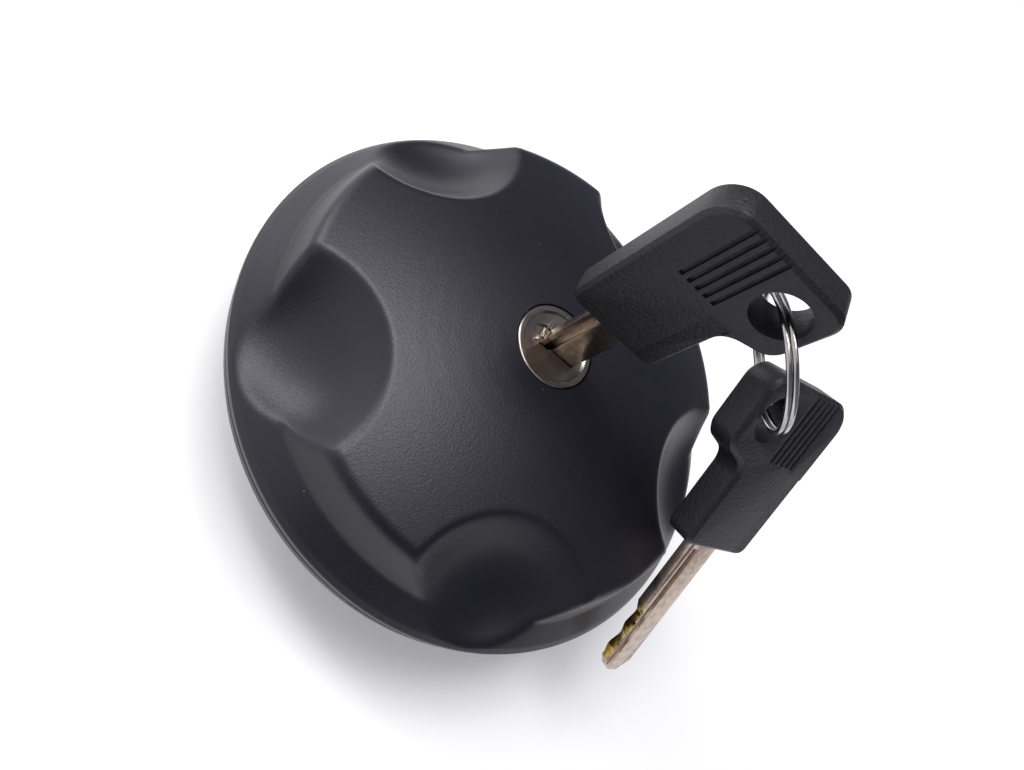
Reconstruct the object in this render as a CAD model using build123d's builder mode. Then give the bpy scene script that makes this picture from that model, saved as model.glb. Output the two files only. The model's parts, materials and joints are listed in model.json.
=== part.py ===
from build123d import *
import math
import os

# Locking bayonet filler cap for an 80 mm tank neck, with its key in the lock and a
# spare key on a split ring.  Millimetres.  Z is the cap's axis, pointing out of the
# neck, and z = 0 is the plane in which the gasket seats on the neck's lip.  X runs
# along the keyway, over the middle of one finger scallop.

os.makedirs("parts", exist_ok=True)

# ---- neck and seal ---------------------------------------------------------------
neck_bore_radius = 40.0
neck_clearance = 1.4
lip_height = 6.0                # room for the neck's lip between gasket and lugs
gasket_thickness = 3.0
gasket_width = 8.7
gasket_play = 0.2

# ---- insert ----------------------------------------------------------------------
insert_radius = neck_bore_radius - neck_clearance
insert_depth = 20.0
insert_wall = 2.2
insert_floor = 2.4
flange_thickness = 2.0
flange_edge = 2.6               # flange rim outside the screws' circle
lug_reach = 4.8
lug_thickness = 3.2
lug_angle = 40.0
lug_count = 2
lug_bevel = 0.8
lug_slope = 14.0
lug_lead = 8.0
foot_chamfer = 0.8

# ---- base ring -------------------------------------------------------------------
band_gap = 5.1                  # gasket's edge to the band
band_height = 3.0
band_setback = 0.4
band_wall = 5.0
web_play = 0.15
band_round = 0.7
spigot_wall = 3.0
spigot_play = 0.1
web_thickness = 2.4
groove_height = 0.8
rim_gap = 0.2                   # radial play between the spigot and the shell
spigot_height = 1.2

# ---- shell -----------------------------------------------------------------------
face_height = 23.5              # lock face above the shell's rim
wall = 2.8
lip_edge = 2.2
lip_round = 0.8
rim_wall = 2.6
skirt_drop = 6.4                # rim radius less the radius of the steep wall
skirt_height = 5.2
skirt_round = 4.0
shoulder_draft = 0.5
shoulder_height = 17.0
shoulder_round = 4.5
dome_crown = 1.2
scallop_count = 5
scallop_outer_setback = 3.5     # rim radius less the radius of the scallop's low end
scallop_outer_height = 4.2
scallop_inner_radius = 34.0
scallop_inner_height = 20.3
scallop_radius = 30.0           # along the cap's radius
scallop_cross_radius = 22.0     # across it
scallop_edge = 1.8              # rounding of a bowl's edge

# ---- lock ------------------------------------------------------------------------
disc_radius = 8.85
disc_thickness = 2.0
disc_dish = 0.45
disc_rim = 1.3
disc_round = 0.5
head_gap = 0.05
plug_radius = 6.9
running = 0.05
housing_wall = 2.0
housing_fit = 0.1
housing_length = 19.6
housing_flange_radius = 15.0
housing_flange = 2.4
boss_length = 8.4
boss_wall = 6.4
tail_side = 6.0
tail_fit = 0.05
tail_gap = 0.3
keyway_end = 1.0
collar_height = 1.2
clip_thickness = 0.8
clip_radius = 8.4
clip_bore = 5.2
clip_play = 0.08
wafer_count = 5
wafer_pitch = 2.6
wafer_thickness = 1.2
wafer_half_length = 6.1
wafer_half_width = 2.7
wafer_play = 0.05
wafer_channel = 1.0
first_wafer = 5.0               # lock face to the first wafer's middle
recess_radius = 2.8
recess_depth = 1.1
recess_offset = 3.1
tab_thickness = 0.45

# ---- keys ------------------------------------------------------------------------
blade_low = -3.0                # blade edges, across the key, from the lock's axis
blade_high = 5.4
blade_thickness = 2.2
blade_inserted = 18.5
blade_play = 0.15
blade_groove = 1.8
blade_groove_depth = 0.6
groove_low = -1.0
groove_high = 3.0
groove_end = 2.0
blade_tip = 3.0
tang = 12.0
cut_depths = (1.6, 0.9, 2.1, 1.2, 1.8)
cut_pitch = 3.0
cut_flat = 0.9
bow_start = 17.0                # lock face to the bow
bow_length = 37.3
bow_low = -9.0
bow_high = 11.3
lobe_high = 19.6
lobe_start = 38.5
neck_end = 35.5
bow_foot_round = 2.0
bow_top_round = 6.0
lobe_round = 4.0
bow_thickness = 7.0
bow_edge = 0.8
hole_across = 12.4
hole_along = 46.3
hole_radius = 5.0
grip_count = 5
grip_pitch = 1.85
grip_across = 1.4
grip_start = 38.5
grip_width = 0.9
grip_depth = 0.7
panel_step = 0.4
panel_across = 7.0
panel_end = 37.0
step_across = -4.5

# ---- split ring and spare key ------------------------------------------------------
ring_radius = 12.1              # to the middle of the wire
ring_wire = 1.0
ring_turn_gap = 0.04
ring_pull = 1.7                 # hole centre to wire centre where the ring hangs
ring_slope = 46.0               # below the horizontal, outward over the lock side
spare_azimuth = -29.0           # where the spare blade crosses the shell's shoulder
spare_clearance = 2.5
spare_lean = 9.8                # angle between the blade and the line hole to shoulder
spare_roll = (-0.474, 0.590, -0.654)

# ---- locking mechanism ---------------------------------------------------------------
bolt_width = 9.0
bolt_height = 3.0
bolt_play = 0.1
bolt_throw = 4.5
bolt_proud = 3.4                # how far a locked bolt stands out of the insert
bolt_inner = 8.5
bolt_bevel = 1.0
lock_turn = 90.0
pin_radius = 1.5
pin_place = 13.0
pin_height = 1.8
slot_play = 0.1
cam_radius = 16.5
cam_thickness = 3.0
spiral_steps = 9
cam_hub_radius = 6.0
cam_hub = 4.0
cam_screw_head = 2.8
cam_screw_radius = 1.25
cam_screw_length = 7.0
cam_screw_head_height = 1.5
carrier_half_width = 12.0
carrier_floor = 4.05
cover_thickness = 1.5
cover_gap = 0.3
carrier_gap = 0.3
cover_screw_head_height = 1.2
cover_screw_radius = 1.0
cover_screw_head = 1.9
cover_screw_length = 5.0
cover_screw_x = 26.0
cover_screw_y = 8.4

# ---- vent ------------------------------------------------------------------------
vent_cam_gap = 1.5              # valve body to the cam's edge
vent_wall_gap = 2.4             # valve body to the insert's wall
vent_seat = 2.0                 # width of the rubber under the poppet
vent_body_wall = 1.4
vent_body_height = 10.0
vent_cap_thickness = 1.4
vent_seal_thickness = 1.0
vent_seal_gap = 1.0
poppet_setback = 0.4
poppet_thickness = 1.2
poppet_stem_length = 4.0
poppet_gap = 0.05
vent_port = 0.9
vent_port_count = 6
vent_port_inset = 0.5
vent_spring_setback = 2.0
vent_spring_wire = 0.6
vent_spring_turns = 4

# ---- assembly screws ---------------------------------------------------------------
screw_count = 5
screw_inset = 5.0               # screws' circle outside the insert's wall
screw_radius = 1.5
screw_head_radius = 2.9
screw_head = 1.6
screw_length = 9.0
screw_hole_play = 0.1
screw_socket = 1.5
screw_boss_radius = 4.0
rib_thickness = 1.6
rib_height = 6.0
housing_screw_count = 3
housing_screw_radius = 1.25
housing_screw_head = 2.2
housing_screw_head_height = 1.4
housing_screw_length = 7.0

# ---- levels ------------------------------------------------------------------------
insert_inner = insert_radius - insert_wall
gasket_inner_radius = insert_radius + gasket_play
gasket_outer_radius = gasket_inner_radius + gasket_width
screw_circle = insert_radius + screw_inset
flange_radius = screw_circle + flange_edge
cap_radius = gasket_outer_radius + band_gap + band_wall + band_setback
web_low = gasket_thickness
web_high = web_low + web_thickness
flange_high = web_high + flange_thickness
rim_level = web_low + 0.4
face_level = rim_level + face_height
band_high = rim_level - groove_height
band_low = band_high - band_height
band_outer = cap_radius - band_setback
floor_low = -insert_depth
floor_high = floor_low + insert_floor
lug_high = -lip_height
disc_low = face_level - disc_thickness
housing_radius = plug_radius + running + housing_wall
lock_hole = housing_radius + housing_fit
housing_low = disc_low - housing_length
boss_radius = housing_radius + boss_wall
boss_low = face_level - wall - boss_length
bolt_low = floor_high + carrier_floor
bolt_high = bolt_low + bolt_height
cam_low = bolt_high + bolt_play * 2
cam_high = cam_low + cam_thickness
wafer_levels = [
    face_level - first_wafer - wafer_pitch * index - wafer_thickness / 2
    for index in range(wafer_count)
]
last_wafer_low = wafer_levels[-1]

vent_body_radius = (insert_inner - cam_radius - vent_cam_gap - vent_wall_gap) / 2
vent_seal_radius = vent_body_radius - vent_body_wall - vent_seal_gap
vent_hole = vent_seal_radius - vent_seat
poppet_radius = vent_seal_radius - poppet_setback
vent_spring_radius = poppet_radius - vent_spring_setback
poppet_stem = vent_spring_radius / 2
vent_port_circle = vent_body_radius - vent_body_wall - vent_port - vent_port_inset
vent_offset = cam_radius + vent_cam_gap + vent_body_radius

half_pitch = 180 / scallop_count
rib_low = rim_level + shoulder_height - wall - rib_height
housing_screw_circle = housing_radius + boss_wall / 2
wall_radius = cap_radius - skirt_drop
shoulder_radius = wall_radius - shoulder_draft
spigot_radius = cap_radius - rim_wall - rim_gap


def dome_mid(offset):
    """Middle point of the dome's arc, moved in by an offset."""
    radius = (shoulder_radius + disc_radius) / 2
    height = (shoulder_height + face_height) / 2 + dome_crown
    return (radius, rim_level + height - offset)


# Scallop tool: an ellipsoid laid along the bowl, so that each bowl is deeper than wide.
low_end = Vector(cap_radius - scallop_outer_setback, scallop_outer_height)
high_end = Vector(scallop_inner_radius, scallop_inner_height)
chord = low_end - high_end
scallop_long = math.sqrt(scallop_radius * scallop_cross_radius)
centre_height = scallop_cross_radius * math.sqrt(1 - (chord.length / 2 / scallop_long) ** 2)
chord_normal = Vector(-chord.Y, chord.X).normalized()
scallop_centre = (low_end + high_end) * 0.5 + chord_normal * centre_height
scallop_plane = Plane(
    origin=(scallop_centre.X, 0, rim_level + scallop_centre.Y),
    x_dir=(chord.X, 0, chord.Y),
    z_dir=(0, -1, 0),
)
scallop_axis = Axis(scallop_plane.origin, scallop_plane.x_dir)


def scallop_tool(growth):
    """One bowl cutter over +X, grown outward by a wall thickness."""
    half_width = scallop_cross_radius + growth
    with BuildPart() as tool:
        with BuildSketch(scallop_plane):
            Ellipse(scallop_long + growth, half_width)
            with Locations((0, half_width)):
                Rectangle(4 * half_width, 2 * half_width, mode=Mode.SUBTRACT)
        revolve(axis=scallop_axis)
    return tool.part


# ---- outer shell -----------------------------------------------------------------
def at_point(shape, point):
    """The vertex of a flat profile that lies at a point."""
    return shape.vertices().sort_by_distance(Vector(*point))[:1]


with BuildPart() as cavity:
    with BuildSketch(Plane.XZ):
        with BuildLine():
            Polyline(
                (0, face_level - wall),
                (0, band_low),
                (cap_radius - rim_wall, band_low),
                (cap_radius - rim_wall, rim_level + spigot_height),
                (wall_radius - wall, rim_level + skirt_height - wall * 0.8),
                (shoulder_radius - wall, rim_level + shoulder_height - wall),
                dome_mid(wall),
                (disc_radius, face_level - wall),
                close=True,
            )
        make_face()
    revolve(axis=Axis.Z)
    thick_bowl = scallop_tool(wall)
    with PolarLocations(0, scallop_count):
        add(thick_bowl, mode=Mode.SUBTRACT)
    # left standing in the cavity: lock boss, screw bosses and ribs
    with BuildSketch(Plane.XY.offset(boss_low)):
        Circle(boss_radius)
    extrude(amount=face_level - boss_low, mode=Mode.SUBTRACT)
    with BuildSketch(Plane.XY.offset(flange_high)):
        with PolarLocations(screw_circle, screw_count, start_angle=half_pitch):
            Circle(screw_boss_radius)
    extrude(amount=face_level - flange_high, mode=Mode.SUBTRACT)
    with BuildSketch(Plane.XY.offset(rib_low)):
        with PolarLocations((boss_radius + screw_circle) / 2, screw_count, start_angle=half_pitch):
            Rectangle(screw_circle - boss_radius, rib_thickness)
    extrude(amount=face_level - rib_low, mode=Mode.SUBTRACT)

with BuildPart() as outer_shell:
    with BuildSketch(Plane.XZ):
        with BuildLine():
            Polyline(
                (0, face_level),
                (0, rim_level),
                (cap_radius, rim_level),
                (cap_radius, rim_level + lip_edge),
                (wall_radius, rim_level + skirt_height),
                (shoulder_radius, rim_level + shoulder_height),
            )
            ThreePointArc(
                (shoulder_radius, rim_level + shoulder_height),
                dome_mid(0),
                (disc_radius, face_level),
            )
            Line((disc_radius, face_level), (0, face_level))
        profile = make_face()
        profile = fillet(at_point(profile, (cap_radius, rim_level + lip_edge)), lip_round)
        profile = fillet(at_point(profile, (wall_radius, rim_level + skirt_height)), skirt_round)
        profile = fillet(at_point(profile, (shoulder_radius, rim_level + shoulder_height)), shoulder_round)
    revolve(axis=Axis.Z)
    bowl = scallop_tool(0)
    with PolarLocations(0, scallop_count):
        add(bowl, mode=Mode.SUBTRACT)
    fillet(outer_shell.edges(Select.LAST), scallop_edge)
    add(cavity.part, mode=Mode.SUBTRACT)
    with BuildSketch(Plane.XY.offset(band_low)):
        Circle(cap_radius - rim_wall)
    extrude(amount=rim_level + spigot_height - band_low, mode=Mode.SUBTRACT)
    with BuildSketch(Plane.XY.offset(band_low)):
        Circle(spigot_radius - spigot_wall + web_play)
    extrude(amount=web_high + web_play - band_low, mode=Mode.SUBTRACT)
    with BuildSketch(Plane.XY.offset(boss_low)):
        Circle(lock_hole)
    extrude(amount=face_level - boss_low, mode=Mode.SUBTRACT)
    with BuildSketch(Plane.XY.offset(flange_high)):
        with PolarLocations(screw_circle, screw_count, start_angle=half_pitch):
            Circle(screw_radius)
    extrude(amount=web_low + screw_length - flange_high, mode=Mode.SUBTRACT)
    with BuildSketch(Plane.XY.offset(boss_low)):
        with PolarLocations(housing_screw_circle, housing_screw_count, start_angle=60):
            Circle(housing_screw_radius)
    extrude(amount=housing_screw_length - housing_flange, mode=Mode.SUBTRACT)
outer_shell.part.label = "outer_shell"
export_step(outer_shell.part, "parts/outer_shell.step")

# ---- base ring ---------------------------------------------------------------------
with BuildPart() as base_ring:
    with BuildSketch(Plane.XZ):
        with BuildLine():
            Polyline(
                (insert_radius + web_play, web_low),
                (band_outer - band_wall, web_low),
                (band_outer - band_wall, band_low),
                (band_outer, band_low),
                (band_outer, band_high),
                (spigot_radius, band_high),
                (spigot_radius, rim_level + spigot_height - spigot_play),
                (spigot_radius - spigot_wall, rim_level + spigot_height - spigot_play),
                (spigot_radius - spigot_wall, web_high),
                (insert_radius + web_play, web_high),
                close=True,
            )
        profile = make_face()
        profile = fillet(at_point(profile, (band_outer, band_low)), band_round * 1.6)
        profile = fillet(at_point(profile, (band_outer, band_high)), band_round)
    revolve(axis=Axis.Z)
    with BuildSketch(Plane.XY.offset(web_low)):
        with PolarLocations(screw_circle, screw_count, start_angle=half_pitch):
            Circle(screw_radius + screw_hole_play)
    extrude(amount=web_thickness, mode=Mode.SUBTRACT)
    with BuildSketch(Plane.XY.offset(web_low)):
        with PolarLocations(screw_circle, screw_count, start_angle=half_pitch):
            Circle(screw_head_radius + screw_hole_play)
    extrude(amount=screw_head, mode=Mode.SUBTRACT)
base_ring.part.label = "base_ring"
export_step(base_ring.part, "parts/base_ring.step")

# ---- gasket --------------------------------------------------------------------------
with BuildPart() as seal_gasket:
    with BuildSketch(Plane.XY):
        Circle(gasket_outer_radius)
        Circle(gasket_inner_radius, mode=Mode.SUBTRACT)
    extrude(amount=gasket_thickness)
seal_gasket.part.label = "seal_gasket"
export_step(seal_gasket.part, "parts/seal_gasket.step")

# ---- bayonet insert ------------------------------------------------------------------
lug_low = lug_high - lug_thickness
with BuildPart() as bayonet_insert:
    with BuildSketch(Plane.XZ):
        with BuildLine():
            Polyline(
                (0, floor_low),
                (insert_radius, floor_low),
                (insert_radius, web_high),
                (flange_radius, web_high),
                (flange_radius, flange_high),
                (insert_inner, flange_high),
                (insert_inner, floor_high),
                (0, floor_high),
                close=True,
            )
        profile = make_face()
        profile = chamfer(at_point(profile, (insert_radius, floor_low)), foot_chamfer)
    revolve(axis=Axis.Z)
    # bayonet lugs, each a block of ring with a lead-in slope on its upper face
    for turn in range(lug_count):
        middle = 90 + 360 / lug_count * turn
        with BuildSketch(Plane.XZ.rotated((0, 0, middle - lug_angle / 2))):
            with BuildLine():
                Polyline(
                    (insert_radius - insert_wall / 2, lug_low),
                    (insert_radius + lug_reach - lug_bevel, lug_low),
                    (insert_radius + lug_reach, lug_low + lug_bevel),
                    (insert_radius + lug_reach, lug_high),
                    (insert_radius - insert_wall / 2, lug_high),
                    close=True,
                )
            make_face()
        revolve(axis=Axis.Z, revolution_arc=lug_angle)
        lead = Plane(
            origin=(insert_radius + lug_reach / 2, 0, lug_high),
            x_dir=(1, 0, 0),
            z_dir=(0, 0, 1),
        )
        lead_in = Rot(0, 0, middle - lug_angle / 2) * lead * Rot(lug_slope, 0, 0)
        add(
            lead_in * Pos(0, 0, lug_thickness / 2) * Box(
                lug_reach, lug_lead * 2, lug_thickness, mode=Mode.PRIVATE
            ),
            mode=Mode.SUBTRACT,
        )
    # windows for the two locking bolts
    with BuildSketch(Plane.YZ.offset(-insert_radius - 1)):
        with Locations((0, (bolt_low + bolt_high) / 2)):
            Rectangle(bolt_width + 2 * bolt_play, bolt_height + 2 * bolt_play)
    extrude(amount=2 * insert_radius + 2, mode=Mode.SUBTRACT)
    with BuildSketch(Plane.XY.offset(floor_low)):
        with Locations((0, vent_offset)):
            Circle(vent_hole)
    extrude(amount=insert_floor, mode=Mode.SUBTRACT)
    with BuildSketch(Plane.XY.offset(web_high)):
        with PolarLocations(screw_circle, screw_count, start_angle=half_pitch):
            Circle(screw_radius + screw_hole_play)
    extrude(amount=flange_thickness, mode=Mode.SUBTRACT)
bayonet_insert.part.label = "bayonet_insert"
export_step(bayonet_insert.part, "parts/bayonet_insert.step")

# ---- assembly screws, one group ------------------------------------------------------
with BuildPart() as assembly_screws:
    with BuildSketch(Plane.XY.offset(web_low)):
        with PolarLocations(screw_circle, screw_count, start_angle=half_pitch):
            Circle(screw_head_radius)
    extrude(amount=screw_head)
    with BuildSketch(Plane.XY.offset(web_low)):
        with PolarLocations(screw_circle, screw_count, start_angle=half_pitch):
            Circle(screw_radius)
    extrude(amount=screw_length)
    with BuildSketch(Plane.XY.offset(web_low)):
        with PolarLocations(screw_circle, screw_count, start_angle=half_pitch):
            RegularPolygon(screw_socket, 6)
    extrude(amount=screw_head * 0.6, mode=Mode.SUBTRACT)
assembly_screws.part.label = "assembly_screws"
export_step(assembly_screws.part, "parts/assembly_screws.step")

# ---- lock housing --------------------------------------------------------------------
with BuildPart() as lock_housing:
    with BuildSketch(Plane.XY.offset(housing_low)):
        Circle(housing_radius)
        Circle(plug_radius + running, mode=Mode.SUBTRACT)
    extrude(amount=disc_low - head_gap - housing_low)
    with BuildSketch(Plane.XY.offset(boss_low - housing_flange)):
        Circle(housing_flange_radius)
        Circle(housing_radius - housing_wall / 2, mode=Mode.SUBTRACT)
    extrude(amount=housing_flange)
    with BuildSketch(Plane.XY.offset(boss_low - housing_flange)):
        with PolarLocations(housing_screw_circle, housing_screw_count, start_angle=60):
            Circle(housing_screw_radius + screw_hole_play)
    extrude(amount=housing_flange, mode=Mode.SUBTRACT)
    # lengthwise channels that the wafers drop into
    with BuildSketch(Plane.XY.offset(last_wafer_low - wafer_thickness)):
        Rectangle(2 * (plug_radius + wafer_channel), wafer_half_width * 2 + 0.2)
    extrude(amount=face_level - first_wafer + wafer_thickness * 2 - last_wafer_low, mode=Mode.SUBTRACT)
lock_housing.part.label = "lock_housing"
export_step(lock_housing.part, "parts/lock_housing.step")

with BuildPart() as housing_screws:
    with BuildSketch(Plane.XY.offset(boss_low - housing_flange - housing_screw_head_height)):
        with PolarLocations(housing_screw_circle, housing_screw_count, start_angle=60):
            Circle(housing_screw_head)
    extrude(amount=housing_screw_head_height)
    with BuildSketch(Plane.XY.offset(boss_low - housing_flange)):
        with PolarLocations(housing_screw_circle, housing_screw_count, start_angle=60):
            Circle(housing_screw_radius)
    extrude(amount=housing_screw_length)
    with BuildSketch(Plane.XY.offset(boss_low - housing_flange - housing_screw_head_height)):
        with PolarLocations(housing_screw_circle, housing_screw_count, start_angle=60):
            RegularPolygon(housing_screw_radius, 6)
    extrude(amount=housing_screw_head_height * 0.6, mode=Mode.SUBTRACT)
housing_screws.part.label = "housing_screws"
export_step(housing_screws.part, "parts/housing_screws.step")

# ---- lock plug -----------------------------------------------------------------------
blade_middle = (blade_low + blade_high) / 2
keyway_length = blade_high - blade_low + 2 * blade_play
keyway_width = blade_thickness + 2 * blade_play
collar_high = housing_low - clip_thickness - 2 * clip_play
with BuildPart() as lock_plug:
    with BuildSketch(Plane.XY.offset(housing_low - clip_play)):
        Circle(plug_radius)
    extrude(amount=disc_low - housing_low + clip_play)
    with BuildSketch(Plane.XY.offset(collar_high)):
        Circle(clip_bore - clip_play)
    extrude(amount=housing_low - clip_play - collar_high)
    with BuildSketch(Plane.XY.offset(collar_high - collar_height)):
        Circle(plug_radius)
    extrude(amount=collar_height)
    with BuildSketch(Plane.XY.offset(cam_low + tail_gap)):
        Rectangle(tail_side, tail_side)
    extrude(amount=collar_high - collar_height - cam_low - tail_gap)
    with BuildSketch(Plane.XY.offset(face_level - blade_inserted - keyway_end)):
        with Locations((blade_middle, 0)):
            Rectangle(keyway_length, keyway_width)
    extrude(amount=blade_inserted + keyway_end, mode=Mode.SUBTRACT)
    for place in wafer_levels:
        with BuildSketch(Plane.XY.offset(place - wafer_play)):
            Rectangle(4 * plug_radius, wafer_half_width * 2 + 2 * wafer_play)
        extrude(amount=wafer_thickness + 2 * wafer_play, mode=Mode.SUBTRACT)
    with BuildSketch(Plane.XY.offset(cam_low)):
        Circle(cam_screw_radius)
    extrude(amount=cam_screw_length, mode=Mode.SUBTRACT)
lock_plug.part.label = "lock_plug"
export_step(lock_plug.part, "parts/lock_plug.step")

# ---- wafers, one group ---------------------------------------------------------------
with BuildPart() as wafers:
    for place in wafer_levels:
        with BuildSketch(Plane.XY.offset(place)):
            Rectangle(wafer_half_length * 2, wafer_half_width * 2)
            with Locations((blade_middle, 0)):
                Rectangle(
                    keyway_length + wafer_play,
                    keyway_width + wafer_play,
                    mode=Mode.SUBTRACT,
                )
        extrude(amount=wafer_thickness)
wafers.part.label = "wafers"
export_step(wafers.part, "parts/wafers.step")

# ---- lock face -----------------------------------------------------------------------
with BuildPart() as lock_face:
    with BuildSketch(Plane.XZ):
        with BuildLine():
            Polyline(
                (0, disc_low),
                (disc_radius, disc_low),
                (disc_radius, face_level),
                (disc_radius - disc_rim, face_level),
                (disc_radius - disc_rim - disc_dish, face_level - disc_dish),
                (0, face_level - disc_dish),
                close=True,
            )
        profile = make_face()
        profile = fillet(at_point(profile, (disc_radius, face_level)), disc_round)
        profile = fillet(at_point(profile, (disc_radius - disc_rim, face_level)), disc_round / 2)
    revolve(axis=Axis.Z)
    with BuildSketch(Plane.XY.offset(disc_low)):
        with Locations((blade_middle, 0)):
            Rectangle(keyway_length, keyway_width)
    extrude(amount=disc_thickness, mode=Mode.SUBTRACT)
    # round recess at the keyway's end, with the two folded tabs of the dust flap
    with BuildSketch(Plane.XY.offset(face_level - recess_depth)):
        with Locations((-recess_offset, 0)):
            Circle(recess_radius)
        with Locations((-recess_offset - recess_radius / 3, 0), (-recess_offset, recess_radius / 2)):
            Rectangle(tab_thickness, recess_radius, mode=Mode.SUBTRACT)
    extrude(amount=recess_depth, mode=Mode.SUBTRACT)
lock_face.part.label = "lock_face"
export_step(lock_face.part, "parts/lock_face.step")

# ---- plug clip -----------------------------------------------------------------------
with BuildPart() as plug_clip:
    with BuildSketch(Plane.XY.offset(collar_high + clip_play / 2)):
        Circle(clip_radius)
        Circle(clip_bore, mode=Mode.SUBTRACT)
        with Locations((0, -clip_radius)):
            Rectangle(clip_bore * 1.6, clip_radius * 2, mode=Mode.SUBTRACT)
    extrude(amount=clip_thickness)
plug_clip.part.label = "plug_clip"
export_step(plug_clip.part, "parts/plug_clip.step")

# ---- drive cam -----------------------------------------------------------------------
spiral_points = []
for step in range(spiral_steps + 1):
    swept = lock_turn * step / spiral_steps
    reach = pin_place - bolt_throw * swept / lock_turn
    place = math.radians(-swept)
    spiral_points.append((reach * math.cos(place), reach * math.sin(place)))
slot_half = pin_radius + slot_play
with BuildPart() as drive_cam:
    with BuildSketch(Plane.XY.offset(cam_low)):
        Circle(cam_radius)
    extrude(amount=cam_thickness)
    with BuildSketch(Plane.XY.offset(cam_high)):
        Circle(cam_hub_radius)
    extrude(amount=cam_hub)
    with BuildSketch(Plane.XY.offset(cam_low)):
        Rectangle(tail_side + 2 * tail_fit, tail_side + 2 * tail_fit)
    extrude(amount=cam_thickness + cam_hub, mode=Mode.SUBTRACT)
    for start in (0, 180):
        with BuildSketch(Plane.XY.offset(cam_low).rotated((0, 0, start))):
            with BuildLine():
                Spline(*spiral_points)
            trace(line_width=2 * slot_half)
            with Locations(spiral_points[0], spiral_points[-1]):
                Circle(slot_half)
        extrude(amount=cam_thickness, mode=Mode.SUBTRACT)
drive_cam.part.label = "drive_cam"
export_step(drive_cam.part, "parts/drive_cam.step")

# ---- cam screw -----------------------------------------------------------------------
with BuildPart() as cam_screw:
    with BuildSketch(Plane.XY.offset(cam_low - cam_screw_head_height)):
        Circle(cam_screw_head)
    extrude(amount=cam_screw_head_height)
    with BuildSketch(Plane.XY.offset(cam_low)):
        Circle(cam_screw_radius)
    extrude(amount=cam_screw_length)
    with BuildSketch(Plane.XY.offset(cam_low - cam_screw_head_height)):
        RegularPolygon(cam_screw_radius, 6)
    extrude(amount=cam_screw_head_height / 2, mode=Mode.SUBTRACT)
cam_screw.part.label = "cam_screw"
export_step(cam_screw.part, "parts/cam_screw.step")

# ---- locking bolts -------------------------------------------------------------------
bolt_outer = insert_radius + bolt_proud
for side, side_name in ((1, "right"), (-1, "left")):
    with BuildPart() as locking_bolt:
        with BuildSketch(Plane.XZ.offset(-bolt_width / 2)):
            with BuildLine():
                Polyline(
                    (side * bolt_inner, bolt_low),
                    (side * (bolt_outer - bolt_bevel), bolt_low),
                    (side * bolt_outer, bolt_low + bolt_bevel),
                    (side * bolt_outer, bolt_high),
                    (side * bolt_inner, bolt_high),
                    close=True,
                )
            make_face()
        extrude(amount=bolt_width)
        with BuildSketch(Plane.XY.offset(bolt_high)):
            with Locations((side * pin_place, 0)):
                Circle(pin_radius)
        extrude(amount=pin_height)
    locking_bolt.part.label = "locking_bolt_" + side_name
    export_step(locking_bolt.part, "parts/locking_bolt_" + side_name + ".step")

# ---- bolt carrier and its covers -----------------------------------------------------
carrier_high = bolt_high + bolt_play
carrier_length = 2 * math.sqrt(
    (insert_inner - carrier_gap) ** 2 - carrier_half_width ** 2
)
with BuildPart() as bolt_carrier:
    with BuildSketch(Plane.XY.offset(floor_high)):
        Rectangle(carrier_length, 2 * carrier_half_width)
    extrude(amount=carrier_high - floor_high)
    with BuildSketch(Plane.XY.offset(bolt_low - bolt_play)):
        Rectangle(carrier_length, bolt_width + 2 * bolt_play)
    extrude(amount=carrier_high - bolt_low + bolt_play, mode=Mode.SUBTRACT)
    with BuildSketch(Plane.XY.offset(carrier_high + cover_thickness - cover_screw_length)):
        with GridLocations(2 * cover_screw_x, 2 * cover_screw_y, 2, 2):
            Circle(cover_screw_radius)
    extrude(amount=cover_screw_length, mode=Mode.SUBTRACT)
bolt_carrier.part.label = "bolt_carrier"
export_step(bolt_carrier.part, "parts/bolt_carrier.step")

with BuildPart() as bolt_covers:
    with BuildSketch(Plane.XY.offset(carrier_high)):
        Rectangle(carrier_length, 2 * carrier_half_width)
        Circle(cam_radius + cover_gap, mode=Mode.SUBTRACT)
        with GridLocations(2 * cover_screw_x, 2 * cover_screw_y, 2, 2):
            Circle(cover_screw_radius + screw_hole_play, mode=Mode.SUBTRACT)
    extrude(amount=cover_thickness)
bolt_covers.part.label = "bolt_covers"
export_step(bolt_covers.part, "parts/bolt_covers.step")

with BuildPart() as cover_screws:
    with BuildSketch(Plane.XY.offset(carrier_high + cover_thickness)):
        with GridLocations(2 * cover_screw_x, 2 * cover_screw_y, 2, 2):
            Circle(cover_screw_head)
    extrude(amount=cover_screw_head_height)
    with BuildSketch(Plane.XY.offset(carrier_high + cover_thickness - cover_screw_length)):
        with GridLocations(2 * cover_screw_x, 2 * cover_screw_y, 2, 2):
            Circle(cover_screw_radius)
    extrude(amount=cover_screw_length)
cover_screws.part.label = "cover_screws"
export_step(cover_screws.part, "parts/cover_screws.step")

# ---- vent ----------------------------------------------------------------------------
vent_axis = (0, vent_offset)
vent_high = floor_high + vent_body_height
poppet_low = floor_high + vent_seal_thickness + poppet_gap
with BuildPart() as vent_body:
    with BuildSketch(Plane.XY.offset(floor_high)):
        with Locations(vent_axis):
            Circle(vent_body_radius)
            Circle(vent_body_radius - vent_body_wall, mode=Mode.SUBTRACT)
    extrude(amount=vent_body_height)
vent_body.part.label = "vent_body"
export_step(vent_body.part, "parts/vent_body.step")

with BuildPart() as vent_seal:
    with BuildSketch(Plane.XY.offset(floor_high)):
        with Locations(vent_axis):
            Circle(vent_seal_radius)
            Circle(vent_hole, mode=Mode.SUBTRACT)
    extrude(amount=vent_seal_thickness)
vent_seal.part.label = "vent_seal"
export_step(vent_seal.part, "parts/vent_seal.step")

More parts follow.
